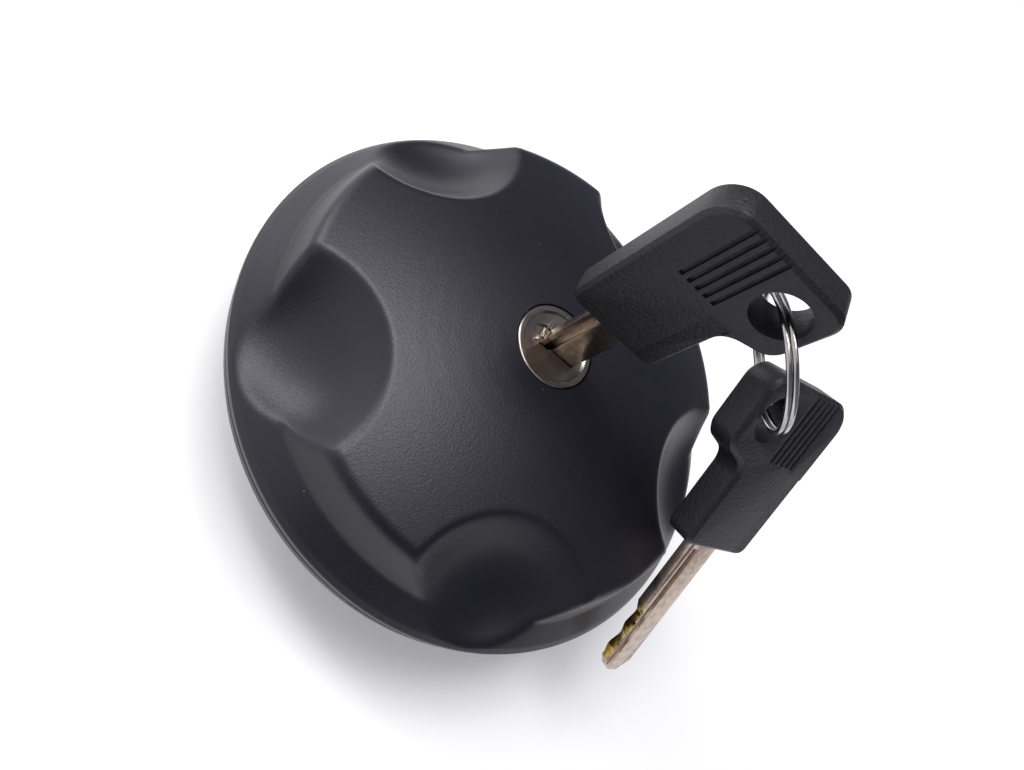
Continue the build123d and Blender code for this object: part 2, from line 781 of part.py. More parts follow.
with BuildPart() as vent_poppet:
    with BuildSketch(Plane.XY.offset(poppet_low)):
        with Locations(vent_axis):
            Circle(poppet_radius)
    extrude(amount=poppet_thickness)
    with BuildSketch(Plane.XY.offset(poppet_low + poppet_thickness)):
        with Locations(vent_axis):
            Circle(poppet_stem)
    extrude(amount=poppet_stem_length)
vent_poppet.part.label = "vent_poppet"
export_step(vent_poppet.part, "parts/vent_poppet.step")

with BuildPart() as vent_cap:
    with BuildSketch(Plane.XY.offset(vent_high)):
        with Locations(vent_axis):
            Circle(vent_body_radius)
            with PolarLocations(vent_port_circle, vent_port_count):
                Circle(vent_port, mode=Mode.SUBTRACT)
    extrude(amount=vent_cap_thickness)
vent_cap.part.label = "vent_cap"
export_step(vent_cap.part, "parts/vent_cap.step")

spring_low = poppet_low + poppet_thickness + vent_spring_wire / 2
spring_height = vent_high - vent_spring_wire / 2 - spring_low
with BuildPart() as vent_spring:
    with BuildLine():
        coil = Helix(
            pitch=spring_height / vent_spring_turns,
            height=spring_height,
            radius=vent_spring_radius,
            center=(0, vent_offset, spring_low),
        )
    with BuildSketch(Plane(origin=coil @ 0, z_dir=coil % 0)):
        Circle(vent_spring_wire / 2)
    sweep()
vent_spring.part.label = "vent_spring"
export_step(vent_spring.part, "parts/vent_spring.step")

# ---- keys ----------------------------------------------------------------------------
# A key's own plane: x across it, y along the blade from the lock face to the bow.
key_plane = Plane(origin=(0, 0, face_level), x_dir=(1, 0, 0), z_dir=(0, -1, 0))
key_hole = key_plane.from_local_coords(Vector(hole_across, hole_along, 0))

slope = math.radians(ring_slope)
ring_line = Vector(math.cos(slope), 0, -math.sin(slope))
spare_hole = key_hole + ring_line * (2 * ring_radius + 2 * ring_pull)
spare_turn = math.radians(spare_azimuth)
shoulder_point = Vector(
    (shoulder_radius + spare_clearance) * math.cos(spare_turn),
    (shoulder_radius + spare_clearance) * math.sin(spare_turn),
    rim_level + shoulder_height,
)
blade_line = (shoulder_point - spare_hole).normalized()
roll = Vector(*spare_roll)
spare_normal = (roll - blade_line * roll.dot(blade_line)).normalized()
spare_y = (blade_line * -1).rotate(Axis((0, 0, 0), spare_normal), spare_lean)
spare_x = spare_y.cross(spare_normal)
spare_origin = spare_hole - spare_x * hole_across - spare_y * hole_along
spare_plane = Plane(origin=spare_origin, x_dir=spare_x, z_dir=spare_normal)

for key_name, plane in (("", key_plane), ("spare_", spare_plane)):
    with BuildPart() as key_blade:
        with BuildSketch(plane.offset(-blade_thickness / 2)):
            with BuildLine():
                outline = [
                    (blade_low, bow_start + tang),
                    (blade_low, -blade_inserted + blade_tip),
                    (blade_low + blade_tip * 0.8, -blade_inserted),
                    (blade_high - blade_tip * 1.2, -blade_inserted),
                ]
                for index, depth in enumerate(cut_depths):
                    middle = -blade_inserted + cut_pitch * (index + 0.9)
                    outline.append((blade_high - depth, middle - cut_flat / 2))
                    outline.append((blade_high - depth, middle + cut_flat / 2))
                outline.append((blade_high, middle + cut_pitch))
                outline.append((blade_high, bow_start + tang))
                Polyline(*outline, close=True)
            make_face()
        extrude(amount=blade_thickness)
        for face_side, groove_across in ((1, groove_low), (-1, groove_high)):
            level = face_side * (blade_thickness - blade_groove_depth) / 2
            with BuildSketch(plane.offset(level - blade_groove_depth / 2)):
                with Locations((groove_across, (bow_start - groove_end - blade_inserted) / 2)):
                    Rectangle(blade_groove, bow_start - groove_end + blade_inserted)
            extrude(amount=blade_groove_depth, mode=Mode.SUBTRACT)
    key_blade.part.label = key_name + "key_blade"
    export_step(key_blade.part, "parts/" + key_name + "key_blade.step")

    with BuildPart() as key_head:
        bow_end = bow_start + bow_length
        with BuildSketch(plane.offset(-bow_thickness / 2)):
            with BuildLine():
                Polyline(
                    (bow_low, bow_start),
                    (bow_low, bow_end),
                    (lobe_high, bow_end),
                    (lobe_high, lobe_start),
                    (bow_high, neck_end),
                    (bow_high, bow_start),
                    close=True,
                )
            outline = make_face()
            outline = fillet(at_point(outline, (bow_low, bow_start)), bow_foot_round)
            outline = fillet(at_point(outline, (bow_low, bow_end)), bow_top_round)
            outline = fillet(at_point(outline, (lobe_high, bow_end)), lobe_round)
            outline = fillet(at_point(outline, (lobe_high, lobe_start)), lobe_round)
            outline = fillet(at_point(outline, (bow_high, neck_end)), lobe_round)
            outline = fillet(at_point(outline, (bow_high, bow_start)), bow_foot_round)
        extrude(amount=bow_thickness)
        faces = key_head.faces().filter_by(plane)
        chamfer(faces.edges(), bow_edge)
        with BuildSketch(plane.offset(-bow_thickness / 2)):
            with Locations((hole_across, hole_along)):
                Circle(hole_radius)
        extrude(amount=bow_thickness, mode=Mode.SUBTRACT)
        with BuildSketch(plane.offset(-blade_thickness / 2)):
            with Locations((blade_middle, bow_start + tang / 2)):
                Rectangle(blade_high - blade_low, tang)
        extrude(amount=blade_thickness, mode=Mode.SUBTRACT)
        # grip grooves on both faces, open at the bow's end
        for level in (bow_thickness / 2 - grip_depth, -bow_thickness / 2):
            with BuildSketch(plane.offset(level)):
                grip_middle = (grip_start + bow_end) / 2
                with Locations((grip_across, grip_middle)):
                    with GridLocations(grip_pitch, 1, grip_count, 1):
                        Rectangle(grip_width, bow_end - grip_start)
            extrude(amount=grip_depth, mode=Mode.SUBTRACT)
        # one long edge of each face is stepped down beside the grip
        with BuildSketch(plane.offset(bow_thickness / 2 - panel_step)):
            with Locations(((panel_across + bow_high) / 2, (bow_start + panel_end) / 2)):
                Rectangle(bow_high - panel_across, panel_end - bow_start)
        extrude(amount=panel_step, mode=Mode.SUBTRACT)
        with BuildSketch(plane.offset(-bow_thickness / 2)):
            with Locations(((bow_low + step_across) / 2, (bow_start + panel_end) / 2)):
                Rectangle(step_across - bow_low, panel_end - bow_start)
        extrude(amount=panel_step, mode=Mode.SUBTRACT)
    key_head.part.label = key_name + "key_head"
    export_step(key_head.part, "parts/" + key_name + "key_head.step")

# ---- split ring ----------------------------------------------------------------------
ring_centre = (key_hole + spare_hole) * 0.5
hole_axis = Vector(0, 1, 0)
wire_way = (hole_axis + spare_normal).normalized()
wire_way = (wire_way - ring_line * wire_way.dot(ring_line)).normalized()
ring_normal = ring_line.cross(wire_way)
ring_turn = ring_wire + ring_turn_gap
with BuildPart() as split_ring:
    with BuildLine():
        turns = Helix(
            pitch=ring_turn,
            height=2 * ring_turn,
            radius=ring_radius,
            center=ring_centre - ring_normal * ring_turn,
            direction=ring_normal,
        )
    with BuildSketch(Plane(origin=turns @ 0, z_dir=turns % 0)):
        Circle(ring_wire / 2)
    sweep()
split_ring.part.label = "split_ring"
export_step(split_ring.part, "parts/split_ring.step")
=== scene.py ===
"""Visual model of a locking fuel filler cap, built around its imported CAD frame."""

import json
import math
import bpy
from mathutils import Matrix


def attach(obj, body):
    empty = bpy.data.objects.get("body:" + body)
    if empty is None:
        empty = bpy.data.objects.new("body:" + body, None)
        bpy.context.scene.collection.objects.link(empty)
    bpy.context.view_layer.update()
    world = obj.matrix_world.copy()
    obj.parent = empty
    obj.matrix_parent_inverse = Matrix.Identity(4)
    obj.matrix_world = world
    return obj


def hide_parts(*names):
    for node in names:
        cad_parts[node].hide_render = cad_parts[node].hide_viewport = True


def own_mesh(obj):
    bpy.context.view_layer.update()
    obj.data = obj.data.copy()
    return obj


bl_info = {
    "name": "Locking Fuel Filler Cap",
    "version": (1, 0, 0),
    "blender": (4, 5, 0),
    "location": "3D View > Sidebar > Filler Cap",
    "description": "Builds a scalloped locking filler cap with its keys, split ring and stage",
    "category": "Object",
}

import bmesh
import bpy
import numpy as np
from bpy.props import FloatProperty, FloatVectorProperty, IntProperty, PointerProperty
from mathutils import Matrix, Vector

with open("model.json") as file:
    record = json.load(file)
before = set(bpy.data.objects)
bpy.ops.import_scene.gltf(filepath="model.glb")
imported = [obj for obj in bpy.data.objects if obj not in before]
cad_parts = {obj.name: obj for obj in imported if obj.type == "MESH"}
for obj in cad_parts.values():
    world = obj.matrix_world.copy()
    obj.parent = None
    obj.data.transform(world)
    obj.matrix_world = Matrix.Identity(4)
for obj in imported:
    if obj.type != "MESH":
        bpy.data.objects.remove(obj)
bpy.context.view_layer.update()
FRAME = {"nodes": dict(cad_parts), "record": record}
NODES = FRAME["nodes"]
JOINTS = {joint["name"]: joint for joint in FRAME["record"]["behaviour"]["joints"]}
BODY_OF = {
    node: body
    for body, nodes in FRAME["record"]["behaviour"]["bodies"].items()
    for node in nodes
}
MM = 0.001


# ---- colours, nodes and meshes ---------------------------------------------------
def linear(hex_colour):
    """Linear RGBA of an sRGB hex colour such as #2a2a33."""
    channels = [int(hex_colour[i : i + 2], 16) / 255 for i in (1, 3, 5)]
    return tuple(
        c / 12.92 if c <= 0.04045 else ((c + 0.055) / 1.055) ** 2.4 for c in channels
    ) + (1.0,)


def rgb(hex_colour):
    """The three linear channels, for a colour property's default."""
    return linear(hex_colour)[:3]


def add(tree, kind, inputs=None, **settings):
    """Adds one node with its settings, and sets or links its inputs."""
    made = tree.nodes.new(kind)
    for name, value in settings.items():
        setattr(made, name, value)
    for name, value in (inputs or {}).items():
        socket = made.inputs[name]
        if isinstance(value, bpy.types.NodeSocket):
            tree.links.new(value, socket)
        else:
            socket.default_value = value
    return made


def ramp(tree, factor, stops):
    """A colour ramp between (position, colour) stops."""
    made = add(tree, "ShaderNodeValToRGB", {"Fac": factor})
    elements = made.color_ramp.elements
    while len(elements) < len(stops):
        elements.new(0.5)
    for element, (position, colour) in zip(elements, stops):
        element.position = position
        element.color = colour
    return made.outputs["Color"]


def new_material(name):
    """An empty node material with its output, and the tree to build in."""
    material = bpy.data.materials.new(name)
    material.use_nodes = True
    tree = material.node_tree
    tree.nodes.clear()
    return material, tree


def shader_out(tree, surface):
    """Ends a material's tree in this surface."""
    add(tree, "ShaderNodeOutputMaterial", {"Surface": surface})


def per_mm(size):
    """Texture scale for a pattern of this size in millimetres, on Object coordinates."""
    return 1.0 / (size * MM)


def mesh_object(name, verts, faces):
    """A mesh object at the origin, from vertices in metres."""
    mesh = bpy.data.meshes.new(name)
    mesh.from_pydata([tuple(v) for v in verts], [], faces)
    mesh.validate()
    made = bpy.data.objects.new(name, mesh)
    bpy.context.scene.collection.objects.link(made)
    return made


def bake(made):
    """Replaces an object's modifiers by their result and returns the object."""
    bpy.context.view_layer.update()
    graph = bpy.context.evaluated_depsgraph_get()
    result = bpy.data.meshes.new_from_object(made.evaluated_get(graph))
    made.modifiers.clear()
    old = made.data
    made.data = result
    bpy.data.meshes.remove(old)
    return made


def smooth(made, angle=32):
    """Smooth shading with sharp edges above an angle in degrees."""
    made.data.shade_smooth()
    made.data.set_sharp_from_angle(angle=math.radians(angle))


def finish_piece(made, material, body, replaces=()):
    """Gives a piece its material and body, and hides the CAD nodes it stands for."""
    if material.name not in [m.name for m in made.data.materials if m]:
        made.data.materials.clear()
        made.data.materials.append(material)
    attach(made, body)
    if replaces:
        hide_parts(*replaces)
    return made


def dressed_copy(node, bevel=0.15, segments=2, angle=28):
    """A merged, edge-rounded copy of a CAD node, with flat faces rejoined."""
    made = bpy.data.objects.new(node + "_dressed", NODES[node].data.copy())
    bpy.context.scene.collection.objects.link(made)
    shape = bmesh.new()
    shape.from_mesh(made.data)
    bmesh.ops.remove_doubles(shape, verts=shape.verts, dist=0.002 * MM)
    bmesh.ops.dissolve_limit(
        shape,
        angle_limit=math.radians(0.5),
        verts=shape.verts,
        edges=shape.edges,
        delimit={"NORMAL"},
    )
    shape.to_mesh(made.data)
    shape.free()
    made.data.materials.clear()
    rounding = made.modifiers.new("edge rounding", "BEVEL")
    rounding.width = bevel * MM
    rounding.segments = segments
    rounding.limit_method = "ANGLE"
    rounding.angle_limit = math.radians(angle)
    rounding.use_clamp_overlap = True
    rounding.harden_normals = False
    bake(made)
    smooth(made, angle)
    return made


# ---- materials ---------------------------------------------------------------------
# Sizes of the patterns, in millimetres.
TINT_CLOUD = 26
DUST_SPACING = 7.0
METAL_CLOUD = 5.0
FACE_CLOUD = 3.5
TOOL_MARKS = 0.25
PLATE_WEAR = 1.4
BLADE_SCRATCH = 0.3
RUBBER_BLOOM = 6.0
RUBBER_GRAIN = 0.4

PIT_SHARE = 1.6  # size of a plastic's pits, in grains
DUST_RADIUS = 0.035  # size of a speck, in spacings
TINT_LIFT = 0.0015  # linear light that keeps the paler clouds of a black plastic apart


def noise(tree, place, size, **settings):
    """Noise whose features have this size in millimetres."""
    inputs = {"Vector": place, "Scale": per_mm(size), **settings}
    return add(tree, "ShaderNodeTexNoise", inputs).outputs["Fac"]


def raised(tree, height, depth):
    """The normal of a surface with this relief, its depth in millimetres."""
    return add(
        tree,
        "ShaderNodeBump",
        {"Height": height, "Strength": 1.0, "Distance": depth * MM},
    ).outputs["Normal"]


def varied(tree, pattern, low, high):
    """Spreads the middle of a noise over the range from low to high."""
    return add(
        tree,
        "ShaderNodeMapRange",
        {
            "Value": pattern,
            "From Min": 0.3,
            "From Max": 0.7,
            "To Min": low,
            "To Max": high,
        },
    ).outputs["Result"]


def metal_out(tree, tint, roughness, normal):
    """Ends a material's tree in a metal."""
    shader = add(
        tree,
        "ShaderNodeBsdfPrincipled",
        {"Base Color": tint, "Metallic": 1.0, "Roughness": roughness, "Normal": normal},
    )
    shader_out(tree, shader.outputs["BSDF"])


def grained_plastic(name, colour, grain, depth, roughness, patch=0.12, specks=0.0):
    """Moulded ABS from a spark-eroded tool: dark satin skin with a fine, even grain.

    The grain scatters the highlight into soft noise and dulls the colour a little.
    Grain and depth are in millimetres; patch is how far the tint drifts, and specks how
    strongly the dust shows.
    """
    made, tree = new_material(name)
    place = add(tree, "ShaderNodeTexCoord").outputs["Object"]
    fine = noise(tree, place, grain, Detail=3.0, Roughness=0.6)
    pits = add(
        tree,
        "ShaderNodeTexVoronoi",
        {"Vector": place, "Scale": per_mm(grain * PIT_SHARE)},
        feature="SMOOTH_F1",
    ).outputs["Distance"]
    cloud = noise(tree, place, TINT_CLOUD, Detail=2.0)
    base = linear(colour)
    pale = tuple(min(1.0, c * (1 + patch) + TINT_LIFT) for c in base[:3]) + (1.0,)
    deep = tuple(c * (1 - patch) for c in base[:3]) + (1.0,)
    tint = ramp(tree, cloud, [(0.3, deep), (0.7, pale)])
    if specks:
        dust = add(
            tree,
            "ShaderNodeTexVoronoi",
            {"Vector": place, "Scale": per_mm(DUST_SPACING), "Randomness": 1.0},
        ).outputs["Distance"]
        mask = ramp(
            tree, dust, [(0.0, (specks,) * 3 + (1,)), (DUST_RADIUS, (0, 0, 0, 1))]
        )
        tint = add(
            tree,
            "ShaderNodeMix",
            {"Factor": mask, "A": tint, "B": linear("#8d8c90")},
            data_type="RGBA",
        ).outputs["Result"]
    height = add(
        tree, "ShaderNodeMath", {0: fine, 1: pits}, operation="ADD"
    ).outputs["Value"]
    shader = add(
        tree,
        "ShaderNodeBsdfPrincipled",
        {
            "Base Color": tint,
            "Roughness": varied(tree, fine, roughness - 0.05, roughness + 0.06),
            "Normal": raised(tree, height, depth),
            "IOR": 1.5,
            # a faint violet in the sheen
            "Specular Tint": (0.94, 0.92, 1.0, 1.0),
        },
    )
    shader_out(tree, shader.outputs["BSDF"])
    return made


def worked_metal(name, colour, shade, roughness, grain, depth=0.003):
    """Plated, cast or turned metal: a cloudy tint, and a fine grain that ruffles reflections."""
    made, tree = new_material(name)
    place = add(tree, "ShaderNodeTexCoord").outputs["Object"]
    fine = noise(tree, place, grain, Detail=4.0, Roughness=0.65)
    cloud = noise(tree, place, METAL_CLOUD)
    tint = ramp(tree, cloud, [(0.35, linear(shade)), (0.65, linear(colour))])
    rough = varied(tree, fine, max(0.04, roughness - 0.06), roughness + 0.08)
    metal_out(tree, tint, rough, raised(tree, fine, depth))
    return made


def turned_nickel(name, colour, shade):
    """Satin nickel plate over a turned face: rings round the lock's axis catch the light."""
    made, tree = new_material(name)
    place = add(tree, "ShaderNodeTexCoord").outputs["Object"]
    split = add(tree, "ShaderNodeSeparateXYZ", {"Vector": place})
    flat = add(
        tree, "ShaderNodeCombineXYZ", {"X": split.outputs["X"], "Y": split.outputs["Y"]}
    ).outputs["Vector"]
    radius = add(
        tree, "ShaderNodeVectorMath", {0: flat}, operation="LENGTH"
    ).outputs["Value"]
    # drawn coarser than real tool marks, so that they show
    marks = add(
        tree,
        "ShaderNodeTexNoise",
        {"W": radius, "Scale": per_mm(TOOL_MARKS), "Detail": 2.0},
        noise_dimensions="1D",
    ).outputs["Fac"]
    cloud = noise(tree, place, FACE_CLOUD)
    tint = ramp(tree, cloud, [(0.35, linear(shade)), (0.65, linear(colour))])
    metal_out(tree, tint, 0.27, raised(tree, marks, 0.0025))
    return made


def blade_metal(name, plate, brass):
    """Nickel-plated brass: warm silver plate, with bare brass where the cuts were milled."""
    made, tree = new_material(name)
    place = add(tree, "ShaderNodeTexCoord").outputs["Object"]
    cut = add(tree, "ShaderNodeAttribute", attribute_name="bare_brass").outputs["Fac"]
    worn = noise(tree, place, PLATE_WEAR, Detail=3.0)
    plated = ramp(tree, worn, [(0.3, linear("#a69585")), (0.6, linear(plate))])
    bare = ramp(tree, worn, [(0.3, linear("#8f7433")), (0.65, linear(brass))])
    tint = add(
        tree,
        "ShaderNodeMix",
        {"Factor": cut, "A": plated, "B": bare},
        data_type="RGBA",
    ).outputs["Result"]
    scratches = noise(tree, place, BLADE_SCRATCH, Detail=3.0)
    metal_out(tree, tint, 0.24, raised(tree, scratches, 0.004))
    return made


def soft_rubber(name, colour):
    """Nitrile rubber: near-black, matte, with a faint bloom in clouds."""
    made, tree = new_material(name)
    place = add(tree, "ShaderNodeTexCoord").outputs["Object"]
    bloom = noise(tree, place, RUBBER_BLOOM, Detail=4.0)
    tint = ramp(tree, bloom, [(0.35, linear(colour)), (0.75, linear("#2b2b2b"))])
    grain = noise(tree, place, RUBBER_GRAIN)
    shader = add(
        tree,
        "ShaderNodeBsdfPrincipled",
        {
            "Base Color": tint,
            "Roughness": 0.72,
            "Normal": raised(tree, grain, 0.02),
            "IOR": 1.52,
        },
    )
    shader_out(tree, shader.outputs["BSDF"])
    return made


def to_hex(colour):
    """sRGB hex of a linear colour property."""
    channels = []
    for c in colour:
        s = c * 12.92 if c <= 0.0031308 else 1.055 * c ** (1 / 2.4) - 0.055
        channels.append(max(0, min(255, round(s * 255))))
    return "#%02x%02x%02x" % tuple(channels)


MATERIALS = {}


def material(name):
    """The named material, made once from the scene's colours."""
    if name not in MATERIALS:
        tones = bpy.context.scene.cap_colours
        makers = {
            # near-black with a violet cast: broad soft highlights and a few pale specks
            "shell": lambda: grained_plastic(
                "satin ABS shell",
                to_hex(tones.shell),
                grain=0.26,
                depth=0.022,
                roughness=0.39,
                specks=0.5,
            ),
            # greyer and smoother, so that the base ring reads as a piece of its own
            "band": lambda: grained_plastic(
                "satin ABS base ring",
                to_hex(tones.band),
                grain=0.2,
                depth=0.01,
                roughness=0.42,
            ),
            # coarse deep grain: the faces of the bow turn to a dull, leathery black
            "head": lambda: grained_plastic(
                "grained ABS key head",
                to_hex(tones.key_head),
                grain=0.42,
                depth=0.07,
                roughness=0.48,
            ),
            # off-white and dull
            "nylon": lambda: grained_plastic(
                "natural nylon", "#c9c3b2", grain=0.8, depth=0.01, roughness=0.45, patch=0.05
            ),
            # warm silver with rings of light round the keyway
            "face": lambda: turned_nickel(
                "satin nickel plate", to_hex(tones.lock_face), "#8f8a82"
            ),
            # worn warm plate, golden in the cuts
            "blade": lambda: blade_metal(
                "nickel plated brass", to_hex(tones.blade), to_hex(tones.brass)
            ),
            # yellow with blurred reflections
            "brass": lambda: worked_metal(
                "turned brass", to_hex(tones.brass), "#8a7136", roughness=0.3, grain=0.3
            ),
            # mid grey and dull, as cast
            "zinc": lambda: worked_metal(
                "die-cast zinc", "#98989a", "#8c8c90", roughness=0.42, grain=0.9, depth=0.02
            ),
            # a paler grey than the zinc, as dull
            "aluminium": lambda: worked_metal(
                "cast aluminium", "#a5a6a8", "#999a9d", roughness=0.42, grain=0.6, depth=0.02
            ),
            # pale and bright, with slightly blurred reflections
            "steel": lambda: worked_metal(
                "bright zinc-plated steel",
                "#b4b4b6",
                "#8e8e92",
                roughness=0.28,
                grain=0.35,
                depth=0.004,
            ),
            # the brightest metal: thin sharp lines of light along the wire
            "wire": lambda: worked_metal(
                "nickel-plated spring steel",
                "#c9c8c6",
                "#9c9a98",
                roughness=0.16,
                grain=0.5,
                depth=0.002,
            ),
            # flat black that hardly reflects
            "rubber": lambda: soft_rubber("black nitrile rubber", "#161616"),
        }
        MATERIALS[name] = makers[name]()
    return MATERIALS[name]


# ---- properties --------------------------------------------------------------------
class CapSizes(bpy.types.PropertyGroup):
    """Sizes of the visible shapes, in metres unless named otherwise."""

    edge_softness: FloatProperty(
        name="Bowl Edge Softness",
        description="How far the edge of each finger bowl is blended",
        default=5.4 * MM,
        subtype="DISTANCE",
    )
    shell_wall: FloatProperty(
        name="Shell Wall",
        description="Wall thickness of the outer shell",
        default=2.6 * MM,
        subtype="DISTANCE",
    )
    bowl_count: IntProperty(
        name="Bowls", description="Number of finger bowls round the shell", default=5
    )
    grid_around: IntProperty(
        name="Columns",
        description="Mesh columns across one bowl's sector",
        default=72,
    )
    wire: FloatProperty(
        name="Ring Wire",
        description="Wire thickness of the split ring",
        default=1.0 * MM,
        subtype="DISTANCE",
    )


class CapColours(bpy.types.PropertyGroup):
    """Colours of the finishes."""

    shell: FloatVectorProperty(
        name="Shell",
        description="Outer shell plastic",
        subtype="COLOR",
        default=rgb("#0f0e18"),
    )
    band: FloatVectorProperty(
        name="Base Ring",
        description="Base ring plastic",
        subtype="COLOR",
        default=rgb("#191a20"),
    )
    key_head: FloatVectorProperty(
        name="Key Head",
        description="Key head plastic",
        subtype="COLOR",
        default=rgb("#0b0b10"),
    )
    lock_face: FloatVectorProperty(
        name="Lock Face",
        description="Nickel plate on the lock's face",
        subtype="COLOR",
        default=rgb("#b0a599"),
    )
    blade: FloatVectorProperty(
        name="Key Blade",
        description="Plate on the key blades",
        subtype="COLOR",
        default=rgb("#c4b2a4"),
    )
    brass: FloatVectorProperty(
        name="Brass",
        description="Bare brass in the key cuts and the plug",
        subtype="COLOR",
        default=rgb("#c3a255"),
    )
    floor: FloatVectorProperty(
        name="Floor",
        description="Floor and background",
        subtype="COLOR",
        default=rgb("#f6f6f7"),
    )


# ---- shell shape -------------------------------------------------------------------
# Radii and heights of the shell's outline, in millimetres. Its height, its outer radius
# and the lock hole are those of the CAD shell. Wall, shoulder and bowls differ from it by
# up to 2.8 mm, the edges are rounded less, and a groove runs under the rim.
RIM_LEVEL = 3.4
FACE_LEVEL = 26.9
LOCK_HOLE = 9.05
HOLE_DROP = 0.02  # of the hole's edge below the face
DOME_START = 8.85  # edge of the lock's disc
DOME_MIDDLE = RIM_LEVEL + 21.45
DOME_SHARE = 0.9  # how much of the way to the shoulder the arch covers
SHOULDER = (49.8, RIM_LEVEL + 17.4)
SHOULDER_ROUND = 3.2
FOOT = (52.4, RIM_LEVEL + 8.0)
FOOT_ROUND = 1.6
LIP = (58.0, RIM_LEVEL + 2.2)
LIP_START = (LIP[0] - 1.0, LIP[1] + 1.3)
LIP_ROUND = 0.6
RIM = (58.0, RIM_LEVEL + 0.7)
RIM_ROUND = 0.25
RIM_INSET = 1.1
RIM_INNER = RIM[0] - 2.6
INSET_ROUND = 0.1
INNER_LEVEL = RIM_LEVEL + 1.2  # lowest level of the inside

# Ends of the chord that a bowl cuts into the outline, and the bowl's half axes.
BOWL_LOW = (56.6, RIM_LEVEL + 3.6)
BOWL_HIGH = (35.6, RIM_LEVEL + 20.9)
BOWL_LONG = 23.5
BOWL_WIDE = 23.0
BOWL_DEEP = 22.0
BOWL_TURN = math.radians(3.5)
FOOT_SOFTNESS = 1.0  # how far a bowl's edge is blended at the wall's foot

# The grid of the skin, and the ring that its rays leave from.
GRID_STEP = 0.62
RIM_REFINE = 4  # times finer along the rim
RAY_LEVEL = -14
RAY_INSET = 6
RAY_RADIUS = (4, 34)
PLAIN_BAND = 0.2  # above the lip, kept free of the bowls
DOME_ROW = 5


STRAIGHT = math.radians(89.5)  # half of a corner's angle, from which it isn't rounded
SIDE_SHARE = 0.98  # the most of a side that a corner's arc may take
ARC_STEP = math.radians(6)


def rounded(points):
    """A polyline of (x, y, radius) corners as (x, y) points with arcs at the corners."""
    out = [points[0][:2]]
    for before, here, after in zip(points, points[1:], points[2:]):
        p = np.array(here[:2])
        a = np.array(before[:2]) - p
        b = np.array(after[:2]) - p
        a_length, b_length = np.linalg.norm(a), np.linalg.norm(b)
        a, b = a / a_length, b / b_length
        half = math.acos(max(-1.0, min(1.0, float(a @ b)))) / 2
        if here[2] <= 0 or half > STRAIGHT:
            out.append(tuple(p))
            continue
        back = min(
            here[2] / math.tan(half), SIDE_SHARE * a_length, SIDE_SHARE * b_length
        )
        radius = back * math.tan(half)
        middle = p + (a + b) / np.linalg.norm(a + b) * radius / math.sin(half)
        start, end = p + a * back - middle, p + b * back - middle
        turn = math.atan2(start[0] * end[1] - start[1] * end[0], float(start @ end))
        steps = max(3, int(abs(turn) / ARC_STEP))
        for i in range(steps + 1):
            t = turn * i / steps
            out.append(
                (
                    middle[0] + start[0] * math.cos(t) - start[1] * math.sin(t),
                    middle[1] + start[0] * math.sin(t) + start[1] * math.cos(t),
                )
            )
    out.append(points[-1][:2])
    return out


def even_steps(points, step):
    """Resamples a polyline at even steps."""
    line = np.array(points)
    lengths = np.hypot(*np.diff(line, axis=0).T)
    run = np.concatenate([[0], np.cumsum(lengths)])
    count = max(2, int(run[-1] / step))
    at = np.linspace(0, run[-1], count + 1)
    return np.stack([np.interp(at, run, line[:, i]) for i in (0, 1)], axis=1)


def shell_outline():
    """Outline of the shell from the lock hole to the rim, before the bowls are cut."""
    start, end = (DOME_START, FACE_LEVEL), SHOULDER
    rise = DOME_MIDDLE - (start[1] + end[1]) / 2
    dome = []
    for t in np.linspace(0, DOME_SHARE, 10):
        # a parabola over the chord from the face to the shoulder
        x = start[0] + (end[0] - start[0]) * t
        chord = start[1] + (end[1] - start[1]) * t
        dome.append((x, chord + rise * 4 * t * (1 - t), 0))
    corners = [(LOCK_HOLE, FACE_LEVEL - HOLE_DROP, 0)] + dome[1:]
    corners += [SHOULDER + (SHOULDER_ROUND,), FOOT + (FOOT_ROUND,), LIP_START + (0,)]
    inset = RIM[0] - RIM_INSET
    rim = [LIP_START + (0,), LIP + (LIP_ROUND,), RIM + (RIM_ROUND,)]
    rim += [(inset, RIM[1], INSET_ROUND), (inset, RIM_LEVEL, INSET_ROUND)]
    rim += [(RIM_INNER, RIM_LEVEL, 0)]
    main = even_steps(rounded(corners), GRID_STEP)
    return np.concatenate([main, even_steps(rounded(rim), GRID_STEP / RIM_REFINE)[1:]])


def soft_min(a, b, blend):
    """The smaller of two lengths, blended where they are close."""
    near = np.clip(blend - np.abs(a - b), 0, None) / blend
    return np.minimum(a, b) - near * near * blend / 4


def bowl_reach(origin, way):
    """Distance along each ray to the bowl's ellipsoid over +X, or a large number."""
    low, high = np.array(BOWL_LOW), np.array(BOWL_HIGH)
    chord = low - high
    length = np.linalg.norm(chord)
    u = chord / length
    n = np.array([-u[1], u[0]])
    lift = BOWL_DEEP * math.sqrt(1 - (length / 2 / BOWL_LONG) ** 2)
    centre = (low + high) / 2 + n * lift

    def local(v, shift):
        dx, dz = v[..., 0] - shift[0], v[..., 2] - shift[1]
        return np.stack(
            [
                (dx * u[0] + dz * u[1]) / BOWL_LONG,
                v[..., 1] / BOWL_WIDE,
                (dx * n[0] + dz * n[1]) / BOWL_DEEP,
            ],
            axis=-1,
        )

    o, d = local(origin, centre), local(way, (0, 0))
    a = (d * d).sum(-1)
    b = 2 * (o * d).sum(-1)
    c = (o * o).sum(-1) - 1
    root = b * b - 4 * a * c
    reach = (-b - np.sqrt(np.clip(root, 0, None))) / (2 * a)
    return np.where(root > 0, reach, 1e3)


